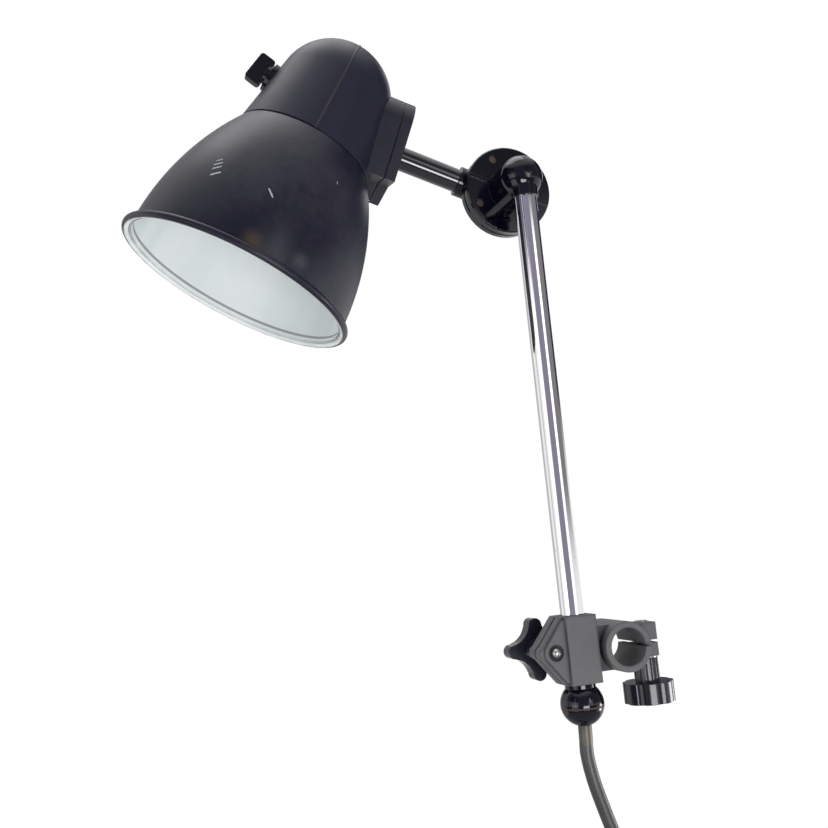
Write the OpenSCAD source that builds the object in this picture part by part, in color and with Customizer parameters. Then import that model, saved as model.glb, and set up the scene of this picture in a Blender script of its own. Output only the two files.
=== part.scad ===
// Clamp-on task lamp with a bell shade, a disc elbow and a round rod.
// Frame: origin at the middle of the clamp ring's bore, +Y along the bore,
// +Z up along the rod, -X towards the shade. Millimetres.

/* [Clamp ring] */
// radius of the bar that the ring grips
bar_r = 11; // [9:0.5:13]
// wall of the ring
ring_wall = 3.5; // [3:0.25:5]
// length of the ring along the bar
ring_len = 36; // [30:1:44]
// slit between the lugs, and between the rod cheeks
slit_w = 1.6; // [1:0.2:2.4]
// how far the lugs stand out of the ring
lug_reach = 10.5; // [9:0.5:14]
// depth of the lugs along the bar
lug_d = 16; // [14:1:20]
// lug middle, behind the ring's middle
lug_back = 2; // [0:0.5:4]
// top of the upper lug above the slit's middle
lug_up = 11; // [9:0.5:13]
// bottom of the lower lug below it
lug_down = 8.8; // [7.5:0.2:9.6]

/* [Rod block] */
// rod axis to bar axis
rod_off = 26; // [25:0.5:32]
// rod axis, in front of the ring's middle
rod_fore = 2; // [0:0.5:4]
// rod radius
rod_r = 7; // [6:0.25:8]
// rod wall
rod_wall = 1.5; // [1:0.1:2]
// width of the column round the rod
col_w = 19; // [18:0.5:24]
// depth of the column round the rod
col_d = 23; // [20:0.5:28]
// height of the column
col_h = 39; // [34:1:46]
// middle of the column above the bar axis
col_rise = 1; // [0:0.25:2]
// half height of the neck between column and ring
neck_half = 13; // [10:0.5:14]
// depth of the neck
neck_d = 18; // [14:1:22]
// how far the cheeks' point stands out of the rod axis
cheek_reach = 26; // [24:0.5:30]
// depth of both cheeks together
cheek_d = 18; // [15:0.5:20]
// rounding of the cheeks' point
cheek_round = 4; // [3:0.25:5]
// step round the front cheek's face
cheek_step = 1.6; // [1:0.1:2.2]

/* [Clamp knobs] */
// radius of the star knob's stud
star_stud_r = 3; // [2.5:0.25:3.5]
// reach of the star knob's arms
star_r = 18.5; // [16:0.5:20]
// thickness of the star
star_t = 9; // [7:0.5:12]
// radius of the star at its waist
star_waist = 11; // [9.5:0.25:12]
// radius of the hollow between two star arms
star_bite = 13; // [11:0.5:15]
// half width of a star arm
star_arm = 4.1; // [3.5:0.1:4.4]
// hub of the star knob
star_hub_r = 6.2; // [5:0.2:7]
// length of that hub
star_hub_len = 9; // [6:0.5:12]
// radius of the thumb screw's stud
thumb_stud_r = 4; // [3:0.25:4.5]
// radius of the thumb knob
thumb_r = 15; // [14:0.5:18]
// height of the thumb knob's head
thumb_h = 12; // [10:0.5:16]
// hub radius of the thumb knob
thumb_hub_r = 7.5; // [6.5:0.25:7.8]
// hub length of the thumb knob
thumb_hub_len = 14; // [12:0.5:18]
// flutes round the thumb knob
thumb_flutes = 8; // [6:1:10]
// grooves round the thumb knob's hub
hub_flutes = 12; // [8:1:16]
// radius of one hub groove
hub_flute_r = 1.4; // [1:0.1:1.8]
// depth of one hub groove
hub_flute_deep = 0.5; // [0.3:0.1:0.8]
// radius of one flute
flute_r = 6; // [4:0.5:8]
// depth of one flute
flute_deep = 0.9; // [0.5:0.1:1.4]
// thickness of the two clamp washers
clamp_washer_t = 1; // [0.8:0.1:1.6]

/* [Ball gland] */
// radius of the ball
ball_r = 12.8; // [11:0.2:15]
// gap between the ball and the block above it
ball_gap = 0.4; // [0.3:0.1:1]
// flat on top of the ball, above the ball's centre
ball_flat = 11.5; // [9:0.25:12]
// neck on top of the ball, radius
ball_neck_r = 9; // [8.5:0.25:9.5]
// brown gasket between the halves
gasket_t = 0.8; // [0.6:0.1:1.2]
// how far the rod stands in the ball
rod_seat = 8; // [6:0.5:9.5]
// wall of the rubber bush round the cord
bush_wall = 1.4; // [1:0.1:1.8]

/* [Disc elbow] */
// elbow axis above the bar axis
disc_z = 288.6; // [240:1:330]
// radius of the two discs
disc_r = 28.3; // [24:0.25:32]
// thickness of one disc
disc_t = 6; // [5:0.25:8]
// front disc's face behind the rod axis
disc_back = 24; // [20:0.5:28]
// knuckle radius
knuckle_r = 13.5; // [12.5:0.25:15]
// rounding of the knuckle's end
knuckle_round = 12.5; // [10:0.5:13]
// knuckle's end in front of the rod axis
knuckle_fore = 9.5; // [9:0.5:12]
// collar round the rod below the knuckle
collar_r = 8.25; // [8:0.25:9]
// reach of that collar below the elbow axis
collar_drop = 14; // [12:0.5:16]
// fibre washer between the discs
fibre_t = 0.6; // [0.4:0.1:1]
// pivot stud radius
pivot_r = 5; // [4:0.25:6]
// bore through the pivot stud
pivot_bore = 2.6; // [1.5:0.1:3]
// boss behind the rear disc
rear_boss_r = 12; // [11:0.25:12.5]
// height of that boss
rear_boss_h = 5.5; // [4:0.5:7]
// spring washer under the nut
spring_t = 1.4; // [1:0.1:2]
// nut thickness
nut_t = 6; // [4:0.5:8]
// nut size across corners, as a radius
nut_r = 9; // [8:0.25:10]
// circle of the small screws in the front disc
face_screw_pcr = 22; // [19:0.25:23.5]
// head radius of those screws
face_screw_r = 2.4; // [1.8:0.1:3]
// depth that those heads are sunk
face_screw_sink = 0.6; // [0.3:0.1:1]
// width of the two moulded bars on the front disc
bar_w = 2.4; // [1.6:0.2:4]
// height of those bars
bar_h = 0.6; // [0.4:0.1:1]

/* [Arm] */
// rise of the arm at rest
arm_tilt = 21.85; // [10:0.5:30]
// arm axis behind the rod axis
arm_back = 40; // [39:0.5:44]
// arm radius
arm_r = 7.5; // [6.5:0.25:8]
// arm wall
arm_wall = 1.5; // [1:0.1:2]
// socket radius on the rear disc
socket_r = 9.6; // [9:0.2:10.4]
// socket end, along the arm
socket_end = 31; // [29:0.5:36]
// start of the tube, along the arm
tube_start = 19; // [18:0.5:21]
// outer face of the bracket, along the arm
bracket_s = 72.5; // [60:0.5:80]
// thickness of the bracket's outer layer
bracket_t = 7.5; // [6.5:0.25:10]
// half width of the bracket
bracket_half = 22; // [18:0.5:25]
// top of the bracket above the arm axis
bracket_up = 35; // [30:0.5:40]
// bracket above the hood's lower lip
bracket_gap = 2.6; // [0.1:0.1:4]
// rise of the bracket's lower edge at its middle
bracket_arch = 5; // [0:0.5:8]
// saddle between the parting line and the hood, on the arm's axis
saddle_t = 5.5; // [3:0.1:7]
// how far the saddle reaches round the hood
saddle_deep = 8.5; // [7.5:0.25:10]
// groove between the two layers, deep
groove_deep = 1.2; // [0.6:0.1:2]
// groove between the two layers, wide
groove_w = 0.9; // [0.5:0.1:1.4]
// nipple radius
nipple_r = 5.5; // [5:0.25:6]
// bore of the nipple
nipple_bore = 3.8; // [3.5:0.1:4]
// flange of the nipple
nipple_flange_t = 2; // [1.5:0.25:2.5]

/* [Head] */
// lean of the shade's axis at rest
head_tilt = 30.65; // [28:0.5:34]
// arm axis above the shade's neck, on the shade's axis
arm_up = 23.7; // [20:0.1:27]
// outer radius of the rim bead
rim_r = 74; // [68:0.5:80]
// radius of the rolled bead
bead_r = 2.2; // [1.6:0.1:3]
// height of the shade
shade_h = 95; // [91:0.5:98]
// radius of the shade at its neck
neck_r = 44.6; // [43:0.2:46]
// shade sheet
sheet_t = 1.2; // [0.8:0.1:1.6]
// wall's lower end inside the bead's middle
wall_in = 2.5; // [1:0.25:4]
// height where the shade's wall stands upright
bell_low = 5; // [4:0.5:12]
// dome wall
dome_wall = 3; // [2.5:0.25:4]
// dome's round top inside the shade's neck
dome_in = 7.5; // [6:0.1:9]
// shadow line under the dome, high
lip_h = 1.2; // [0.8:0.1:2]
// shadow line under the dome, deep
lip_deep = 1.4; // [0.8:0.1:2]
// half width of the dome's mould seam
seam_half = 0.5; // [0.3:0.1:0.8]
// height of the mould seam
seam_h = 0.35; // [0.2:0.05:0.6]
// height of one vent slot
vent_h = 4.5; // [3:0.5:5]
// width of one vent slot
vent_w = 8; // [5:0.5:10]
// lowest vent above the dome's edge
vent_up = 3.6; // [3:0.2:6]
// step between the two rows of vents
vent_step = 7; // [6:0.5:10]

/* [Lampholder] */
// inside radius of the threaded shell
shell_r = 13.25; // [13:0.05:13.5]
// wall of the shell
shell_t = 0.9; // [0.6:0.1:1.2]
// length of the shell's straight wall
shell_len = 21; // [16:0.5:23]
// skirt radius
skirt_r = 19.8; // [19:0.2:21]
// skirt wall
skirt_t = 3.6; // [3:0.1:4]
// skirt length below the shade's neck
skirt_drop = 8; // [6:0.5:12]
// skirt top above the shade's neck
skirt_rise = 20; // [19:0.5:22]
// collar of the skirt, radius
collar_out = 25; // [24:0.5:28]
// collar of the skirt, thickness
collar_t = 2.5; // [2:0.25:4]
// lampholder base, height
base_h = 28; // [26:0.5:30]
// shade ring, height
shade_ring_h = 4.5; // [3:0.5:5.5]
// centre contact radius
contact_r = 7; // [6:0.5:9]
// centre contact height
contact_h = 2.4; // [1.6:0.2:2.6]
// screw that hangs the base, shank radius
hang_r = 2.5; // [2:0.25:3]
// hang boss inside the dome
hang_boss_r = 9; // [7:0.5:11]

/* [Switch] */
// where the spindle leaves the shade's axis, above the lampholder's skirt
switch_up = 10; // [5:0.2:12]
// spindle radius
spindle_r = 2.5; // [2:0.25:3]
// collar radius
switch_collar_r = 9.5; // [8:0.25:11]
// collar thickness over the wall
switch_collar_t = 2.2; // [2:0.2:4]
// paddle length
paddle_len = 20; // [16:0.5:24]
// paddle height
paddle_h = 10.5; // [8:0.5:14]
// paddle thickness
paddle_t = 5.2; // [4:0.2:7]
// paddle corner rounding
paddle_round = 2; // [1:0.25:3]

/* [Cord] */
// cord radius
cord_r = 4; // [3.5:0.1:4.5]
// least radius of the coil's turns
coil_in = 33; // [32:0.5:38]
// gap between turns and layers
coil_gap = 0.5; // [0.45:0.05:0.8]
// turns before the spiral turns outward
coil_turns_in = 3.25; // [2.25:1:4.25]
// turns of the whole coil
coil_turns = 6; // [4:1:8]
// plug body radius
plug_r = 13; // [12:0.5:16]
// plug body length
plug_len = 38; // [32:1:46]
// pin radius
pin_r = 2.4; // [2:0.1:2.5]
// pin length
pin_len = 19; // [16:0.5:20]
// half distance between pins
pin_half = 9.5; // [7:0.25:9.5]

/* [Fits] */
// running clearance of a turning or sliding fit
run = 0.05; // [0.02:0.01:0.09]
// clearance of a fixed fit inside one body
snug = 0.02; // [0.01:0.01:0.05]
// clearance round things that only pass through
pass = 0.4; // [0.3:0.05:0.8]

/* [Hidden] */
$fn = 72;
big = 400;
ring_r = bar_r + ring_wall;
rod_y = -rod_fore;
col_top = col_rise + col_h / 2;
col_bot = col_rise - col_h / 2;
cheek_base = col_w / 2 + 1.5;
star_washer_r = star_hub_r + 0.3;
star_out = col_w / 2 + star_washer_r + pass;
cheek_half = atan(col_h / 2 / (cheek_reach - cheek_base));
lug_end = ring_r + lug_reach;
thumb_x = ring_r + lug_reach - thumb_stud_r - 1.5;
thumb_top = -lug_down - clamp_washer_t;
ball_z = col_bot - ball_gap - ball_flat;
seam_z = ball_z - 1.5;
rod_bot = ball_z + ball_flat - rod_seat;
rod_top = disc_z + 5;
lead_r = cord_r;
cord_start = ball_z - sqrt(ball_r * ball_r - pow(cord_r + pass, 2));
disc_mid = disc_back + disc_t;
rear_face = disc_mid + fibre_t;
rear_back = rear_face + disc_t;
boss_back = rear_back + rear_boss_h;
pivot_front = rod_r + 2;
stud_end = boss_back + spring_t + nut_t + 1;
part_s = bracket_s + bracket_t;
arm_h = shade_h + arm_up;
tube_end = bracket_s + 3.5;
taper = head_tilt - arm_tilt;
dome_base_r = neck_r - 0.2;
dome_top_r = neck_r - dome_in;
dome_step_count = 12;
dome_low = shade_h;
dome_mid = (dome_top_r / cos(taper) - dome_base_r) / -tan(taper) + dome_low;
dome_apex = dome_mid + dome_top_r;
wall_r = dome_base_r - (arm_h - dome_low) * tan(taper);
wall_d = wall_r * cos(taper);
head_s = bracket_s + bracket_t + saddle_t + wall_d;
bracket_down = (arm_h + wall_d * sin(taper) - dome_low - lip_h - bracket_gap) / cos(taper);
wall_s = head_s - wall_d;
pad_s = wall_s + dome_wall + 3;
nipple_end = pad_s + 7;
shell_low = shade_h + skirt_rise - 3 - shell_len;
base_low = shade_h + skirt_rise;
base_top = base_low + base_h;
switch_h = base_low + switch_up;
bell_big = (pow(rim_r - bead_r - wall_in - neck_r, 2) + pow(shade_h - bell_low, 2))
         / (2 * (rim_r - bead_r - wall_in - neck_r));
bell_x = rim_r - bead_r - wall_in - bell_big;
switch_d = (dome_base_r - (switch_h - dome_low) * tan(taper)) * cos(taper);
pitch = 2 * cord_r + coil_gap;
coil_start_r = coil_in + pitch * coil_turns_in;
coil_end_r = coil_in + pitch * (coil_turns - coil_turns_in);
coil_x = -40;
coil_z = -214;
coil_top_z = coil_z + 2 * cord_r;
tail_drop = 34;
tail_back = 8;
plug_top = coil_z - tail_drop;
// route of the free cord: x and z, in the rod's plane
cord_route = [
  [-rod_off, cord_start],
  [-26.2, -50],
  [-26.6, -58],
  [-25.6, -67],
  [-23.6, -77],
  [-20.6, -88],
  [-16.4, -102],
  [-11.2, -117],
  [-4.6, -133],
  [3, -149],
  [10.4, -165],
  [16.4, -181],
  [19.6, -194],
  [coil_x + coil_start_r, coil_top_z],
];

// places: local z is the axis of what is put there
module along_y() { rotate([-90, 0, 0]) children(); }
module at_rod() { translate([-rod_off, rod_y, 0]) children(); }
module at_disc() { translate([-rod_off, rod_y, disc_z]) along_y() children(); }
module at_star() { translate([-rod_off - star_out, rod_y, col_rise]) along_y() children(); }
module at_thumb() { translate([thumb_x, lug_back, 0]) children(); }
module at_arm() { translate([-rod_off, rod_y + arm_back, disc_z]) rotate([0, arm_tilt - 90, 0]) children(); }
module at_head() {
  translate([-rod_off - head_s * cos(arm_tilt), rod_y + arm_back, disc_z + head_s * sin(arm_tilt)])
    rotate([0, head_tilt, 0])
      translate([0, 0, -arm_h])
        children();
}
module at_switch() { at_head() translate([0, 0, switch_h]) rotate([0, taper - 90, 0]) children(); }

// small helpers
module rod_z(r, low, high) { translate([0, 0, low]) cylinder(r = r, h = high - low); }
module tube_z(r_out, r_in, low, high) {
  difference() {
    rod_z(r_out, low, high);
    rod_z(r_in, low - 1, high + 1);
  }
}
module hex_z(r, r_in, low, high) {
  difference() {
    translate([0, 0, low]) cylinder(r = r, h = high - low, $fn = 6);
    rod_z(r_in, low - 1, high + 1);
  }
}

// one tube through a list of points, with its sides set about the Y axis
function unit(v) = v / norm(v);
function side_of(t) = unit([0, 1, 0] - t * t[1]);
function heading(p, i) = unit(p[min(i + 1, len(p) - 1)] - p[max(i - 1, 0)]);
module sweep(p, r, sides) {
  last = len(p) - 1;
  skin = [
    for (i = [0 : last])
      let (t = heading(p, i), n = side_of(t), b = cross(t, n))
        for (j = [0 : sides - 1]) p[i] + r * (cos(360 * j / sides) * n + sin(360 * j / sides) * b)
  ];
  walls = [
    for (i = [0 : last - 1])
      for (j = [0 : sides - 1])
        let (a = i * sides + j, b = i * sides + (j + 1) % sides)
          for (f = [[a, b, b + sides], [a, b + sides, a + sides]]) f
  ];
  ends = [
    [for (j = [0 : sides - 1]) sides - 1 - j],
    [for (j = [0 : sides - 1]) last * sides + j]
  ];
  polyhedron(points = skin, faces = concat(walls, ends), convexity = 10);
}

// clamp

// the cheeks' outline, drawn in by a margin; only the full one has a round point,
// whose circle the straight sides run into
module cheek_outline(margin) {
  reach = cheek_reach - margin;
  top = col_h / 2 - margin;
  tip = reach - cheek_round;
  inside = cheek_round - 0.5;
  tx = tip + inside * sin(cheek_half);
  tz = inside * cos(cheek_half);
  polygon([[-1, top], [cheek_base, top], [tx, tz], [tx, -tz], [cheek_base, -top], [-1, -top]]);
  if (margin == 0) translate([tip, 0]) circle(r = cheek_round);
}
// cheeks from one depth to another, measured from the rod axis
module cheek(margin, front, back) {
  translate([-rod_off, rod_y + front, col_rise])
    rotate([-90, 0, 0])
      mirror([1, 0, 0])
        linear_extrude(back - front)
          cheek_outline(margin);
}
module clamp_body() {
  color("dimgray")
  difference() {
    union() {
      translate([-rod_off - col_w / 2, rod_y - col_d / 2, col_bot]) cube([col_w, col_d, col_h]);
      cheek(0, -cheek_d / 2 + cheek_step, cheek_d / 2);
      cheek(cheek_step, -cheek_d / 2, cheek_step - cheek_d / 2 + 1);
      translate([-rod_off, -neck_d / 2, -neck_half]) cube([rod_off, neck_d, 2 * neck_half]);
      along_y() rod_z(ring_r, -ring_len / 2, ring_len / 2);
      translate([0, lug_back - lug_d / 2, -lug_down]) cube([lug_end, lug_d, lug_up + lug_down]);
    }
    along_y() rod_z(bar_r, -ring_len, ring_len);
    at_rod() rod_z(rod_r + run, -big, big);
    translate([0, -ring_len, -slit_w / 2]) cube([big, 2 * ring_len, slit_w]);
    translate([-rod_off - big, rod_y - slit_w / 2, -big / 2]) cube([big, slit_w, big]);
    at_star() rod_z(star_stud_r + run, -col_d, col_d);
    at_star() rod_z(star_stud_r + 1.6, -col_d, 1.5 - cheek_d / 2);
    at_thumb() rod_z(thumb_stud_r + run, -lug_down - 1, lug_up + 1);
  }
}
module cheek_washer() {
  color("silver")
    at_star() tube_z(star_washer_r, star_stud_r + pass, cheek_d / 2, cheek_d / 2 + clamp_washer_t);
}
module lug_washer() {
  color("silver")
    at_thumb() tube_z(thumb_hub_r - 0.3, thumb_stud_r + pass, thumb_top, -lug_down);
}
module star_stud() {
  far = cheek_d / 2 + clamp_washer_t + star_hub_len;
  color("silver")
    at_star()
      union() {
        rod_z(star_stud_r, -cheek_d / 2 + 0.6, far);
        translate([0, 0, 0.6 - cheek_d / 2])
          intersection() {
            sphere(r = star_stud_r);
            rod_z(star_stud_r, -star_stud_r, 1);
          }
      }
}
module star_outline() {
  lobe = star_r - star_arm;
  difference() {
    circle(r = lobe);
    for (a = [45 : 90 : 315]) rotate(a) translate([star_waist + star_bite, 0]) circle(r = star_bite);
  }
  for (a = [0 : 90 : 270]) rotate(a) translate([lobe, 0]) circle(r = star_arm);
}
module star_knob() {
  near = cheek_d / 2 + clamp_washer_t;
  color([0.05, 0.05, 0.06])
    at_star()
      difference() {
        union() {
          rod_z(star_hub_r, near, near + star_hub_len);
          translate([0, 0, near + star_hub_len]) linear_extrude(star_t) star_outline();
        }
        rod_z(star_stud_r + snug, near - 1, near + star_hub_len);
      }
}
module thumb_stud() {
  color("silver")
    at_thumb() rod_z(thumb_stud_r, thumb_top - thumb_hub_len, lug_up + 0.8);
}
// a round outline with hollow flutes
module fluted(r, count, groove_r, deep) {
  difference() {
    circle(r = r);
    for (k = [0 : count - 1])
      rotate(k * 360 / count)
        translate([r + groove_r - deep, 0])
          circle(r = groove_r);
  }
}
module thumb_knob() {
  low = thumb_top - thumb_hub_len - thumb_h;
  color([0.05, 0.05, 0.06])
    at_thumb()
      difference() {
        union() {
          translate([0, 0, low])
            linear_extrude(thumb_top - low)
              fluted(thumb_hub_r, hub_flutes, hub_flute_r, hub_flute_deep);
          translate([0, 0, low])
            linear_extrude(thumb_h) fluted(thumb_r, thumb_flutes, flute_r, flute_deep);
        }
        rod_z(thumb_stud_r + snug, thumb_top - thumb_hub_len, thumb_top + 1);
      }
}

// rod, ball gland and cord

module rod_tube() {
  color("lightgray") at_rod() tube_z(rod_r, rod_r - rod_wall, rod_bot, rod_top);
}
module ball_part(low, high) {
  intersection() {
    translate([0, 0, ball_z]) sphere(r = ball_r);
    rod_z(ball_r + 1, low, high);
  }
}
module ball_upper() {
  color([0.05, 0.05, 0.06])
    at_rod()
      difference() {
        union() {
          ball_part(seam_z + gasket_t / 2, ball_z + ball_flat);
          rod_z(ball_neck_r, ball_z + ball_flat / 2, ball_z + ball_flat);
        }
        rod_z(rod_r + snug, rod_bot, big);
        rod_z(cord_r + pass, -big, big);
      }
}
module ball_gasket() {
  color("saddlebrown")
    at_rod()
      difference() {
        ball_part(seam_z - gasket_t / 2, seam_z + gasket_t / 2);
        rod_z(cord_r + pass, -big, big);
      }
}
module ball_lower() {
  color([0.05, 0.05, 0.06])
    at_rod()
      difference() {
        ball_part(-big, seam_z - gasket_t / 2);
        rod_z(cord_r + bush_wall + snug, seam_z - 6, big);
        rod_z(cord_r + pass, -big, big);
      }
}
module cord_bush() {
  color([0.08, 0.08, 0.08])
    at_rod() tube_z(cord_r + bush_wall, cord_r + snug, seam_z - 6, seam_z - gasket_t / 2);
}
module rod_lead() {
  color([0.1, 0.09, 0.08]) at_rod() rod_z(lead_r, cord_start, rod_top - 1);
}
module cord() {
  color([0.1, 0.09, 0.08])
    sweep([for (q = cord_route) [q[0], rod_y, q[1]]], cord_r, 10);
}
// the coil: in towards coil_in at a steady rate, one layer back, and out again
function coil_r(t) = coil_in + pitch * abs(t - coil_turns_in);
function ease(x) = let (c = min(max(x, 0), 1)) c * c * (3 - 2 * c);
function coil_y(t) = rod_y + pitch * ease((t - coil_turns_in + 0.25) * 2);
function coil_point(t) =
  [coil_x + coil_r(t) * cos(360 * t), coil_y(t), coil_z - coil_r(t) * sin(360 * t)];
coil_rings = 24;
coil_list = concat(
  [[coil_x + coil_start_r, rod_y, coil_top_z]],
  [for (k = [0 : coil_rings * coil_turns]) coil_point(k / coil_rings)],
  [for (k = [1 : 6])
    [coil_x + coil_end_r, rod_y + pitch + tail_back * ease((k - 1) / 4), coil_z - tail_drop * k / 6]]
);
module cord_coil() {
  color([0.1, 0.09, 0.08]) sweep(coil_list, cord_r, 6);
}
// least distance between the middles of turns that lie beside or on each other
coil_near = min([
  for (i = [0 : 2 : len(coil_list) - 1])
    for (j = [i + 12 : len(coil_list) - 1])
      norm(coil_list[i] - coil_list[j])
]);
echo(coil_self_gap = coil_near - 2 * cord_r);  // cord_coil
module cord_tie() {
  low = coil_r(coil_turns_in - 0.5) - cord_r;
  high = coil_r(0.75) + cord_r;
  front = rod_y - cord_r;
  back = rod_y + pitch + cord_r;
  band = 1.2;
  hold = 0.1;
  color("black")
    translate([coil_x - 3, 0, coil_z])
      difference() {
        translate([0, front - band, low - band]) cube([6, back - front + 2 * band, high - low + 2 * band]);
        translate([-1, front + hold, low + hold]) cube([8, back - front - 2 * hold, high - low - 2 * hold]);
      }
}
module at_plug() { translate([coil_x + coil_end_r, rod_y + pitch + tail_back, plug_top]) children(); }
module plug_body() {
  color([0.07, 0.07, 0.07])
    at_plug()
      rotate_extrude()
        polygon([
          [0, 0], [cord_r + 1.5, 0], [cord_r + 2.5, -plug_len * 0.45],
          [plug_r - 1, -plug_len * 0.55], [plug_r, -plug_len * 0.62], [plug_r, -plug_len], [0, -plug_len]
        ]);
}
module plug_pins() {
  color("silver")
    at_plug()
      for (s = [-1, 1])
        translate([s * pin_half, 0, -plug_len])
          union() {
            rod_z(pin_r, -pin_len + pin_r, 0);
            translate([0, 0, pin_r - pin_len]) sphere(r = pin_r);
          }
}

// disc elbow

module disc_plate(low, high) {
  edge = 0.8;
  rotate_extrude()
    polygon([
      [0, low], [disc_r - edge, low], [disc_r, low + edge],
      [disc_r, high - edge], [disc_r - edge, high], [0, high]
    ]);
}
// world angle in the elbow's plane, counted from +X towards +Z
module face_spot(angle, radius) { rotate(-angle) translate([radius, 0, 0]) children(); }
module disc_front() {
  bar_len = disc_r - knuckle_r - 2;
  color([0.04, 0.04, 0.05])
    difference() {
      union() {
        at_disc() disc_plate(disc_back, disc_mid);
        at_disc()
          rotate_extrude()
            union() {
              translate([0, -knuckle_fore]) square([knuckle_r - knuckle_round, knuckle_fore]);
              translate([0, knuckle_round - knuckle_fore])
                square([knuckle_r, disc_back + 1 + knuckle_fore - knuckle_round]);
              translate([knuckle_r - knuckle_round, knuckle_round - knuckle_fore])
                intersection() {
                  circle(r = knuckle_round);
                  translate([0, -knuckle_round]) square(knuckle_round);
                }
            }
        at_rod() rod_z(collar_r, disc_z - collar_drop, disc_z);
        for (a = [180 - arm_tilt, -arm_tilt])
          at_disc()
            face_spot(a, knuckle_r + 1)
              translate([0, -bar_w / 2, disc_back - bar_h])
                cube([bar_len, bar_w, bar_h + 1]);
      }
      at_rod() rod_z(rod_r + run, 0, rod_top);
      at_disc() rod_z(pivot_r + snug, pivot_front, big);
      for (k = [0 : 3])
        at_disc()
          face_spot(135 - arm_tilt + 90 * k, face_screw_pcr)
            rod_z(face_screw_r + snug, 0, disc_back + face_screw_sink + 1.8);
    }
}
module disc_screws() {
  color("tan")
    for (k = [0 : 3])
      at_disc()
        face_spot(135 - arm_tilt + 90 * k, face_screw_pcr)
          rod_z(face_screw_r, disc_back + face_screw_sink, disc_back + face_screw_sink + 1.8);
}
module pivot_stud() {
  color("silver") at_disc() tube_z(pivot_r, pivot_bore, pivot_front, stud_end);
}
module pivot_washer() {
  color("silver") at_disc() tube_z(nut_r - 0.5, pivot_r + snug, boss_back, boss_back + spring_t);
}
module pivot_nut() {
  color("silver")
    at_disc() hex_z(nut_r, pivot_r + snug, boss_back + spring_t, boss_back + spring_t + nut_t);
}
module friction_washer() {
  color("peru") at_disc() tube_z(disc_r - 1.5, pivot_r + snug, disc_mid, rear_face);
}
module disc_rear() {
  color([0.04, 0.04, 0.05])
    difference() {
      union() {
        at_disc() disc_plate(rear_face, rear_back);
        at_disc() rod_z(rear_boss_r, rear_face + 1, boss_back);
        intersection() {
          at_arm() rod_z(socket_r, rear_boss_r - 1, socket_end);
          at_disc() translate([-big, -big, rear_face]) cube(2 * big);
        }
      }
      at_disc() rod_z(pivot_r + run, 0, big);
      at_arm() rod_z(arm_r + snug, tube_start, big);
      at_disc() rod_z(nut_r + pass, boss_back, big);
    }
}

// arm and bracket

module arm_tube() {
  color([0.03, 0.03, 0.04]) at_arm() tube_z(arm_r, arm_r - arm_wall, tube_start, tube_end);
}
module arm_lead() {
  color([0.1, 0.09, 0.08]) at_arm() rod_z(nipple_bore - pass, tube_start, nipple_end + 3);
}
// the bracket's outline: x up, y across
module bracket_outline(margin) {
  half = bracket_half - margin;
  round_at = bracket_up - bracket_half;
  low = -bracket_down + margin;
  translate([round_at, 0]) circle(r = half);
  polygon([[low, -half], [low + bracket_arch, 0], [low, half], [round_at, half], [round_at, -half]]);
}
module bracket_outer() {
  color([0.06, 0.06, 0.07])
    at_arm()
      difference() {
        union() {
          translate([0, 0, bracket_s]) linear_extrude(bracket_t - groove_w) bracket_outline(0);
          translate([0, 0, bracket_s + 1]) linear_extrude(bracket_t - 1) bracket_outline(groove_deep);
        }
        rod_z(arm_r + snug, 0, tube_end + nipple_flange_t);
        rod_z(nipple_r + snug, 0, big);
      }
}
module nipple() {
  color("silver")
    at_arm()
      difference() {
        union() {
          rod_z(arm_r - 0.2, tube_end, tube_end + nipple_flange_t);
          rod_z(nipple_r, tube_end, nipple_end);
        }
        rod_z(nipple_bore, 0, big);
      }
}
module nipple_nut() {
  color("silver") at_arm() hex_z(nut_r, nipple_r + snug, pad_s, pad_s + 5);
}
module bracket_inner() {
  color([0.06, 0.06, 0.07])
    difference() {
      union() {
        at_arm() translate([0, 0, part_s]) linear_extrude(wall_s + saddle_deep - part_s) bracket_outline(0);
        at_arm() translate([0, 0, part_s]) linear_extrude(saddle_t / 2) bracket_outline(groove_deep);
      }
      at_head() dome_steps();
      at_head() rod_z(big, -big, dome_low + lip_h);
      at_arm() rod_z(nipple_r + run, 0, big);
      for (u = [-1, 1]) at_arm() translate([u * bracket_half * 0.8, 0, 0]) rod_z(2 + snug, part_s + 2, big);
    }
}
module saddle_screws() {
  color("silver")
    for (u = [-1, 1])
      at_arm()
        translate([u * bracket_half * 0.8, 0, 0])
          union() {
            rod_z(2, part_s + 2, pad_s);
            rod_z(3.8, pad_s, pad_s + 2.4);
          }
}

// head

// the dome's solid, grown by a margin
module dome_profile(margin) {
  grow = margin / cos(taper);
  touch_r = (dome_top_r + margin) * cos(taper);
  touch_h = dome_mid + (dome_top_r + margin) * sin(taper);
  polygon([[0, dome_low], [dome_base_r + grow, dome_low], [touch_r, touch_h], [0, touch_h]]);
  intersection() {
    translate([0, dome_mid]) circle(r = dome_top_r + margin, $fn = 144);
    translate([0, touch_h]) square(big);
  }
}
module dome_solid(margin) { rotate_extrude($fn = 144) dome_profile(margin); }
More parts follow.
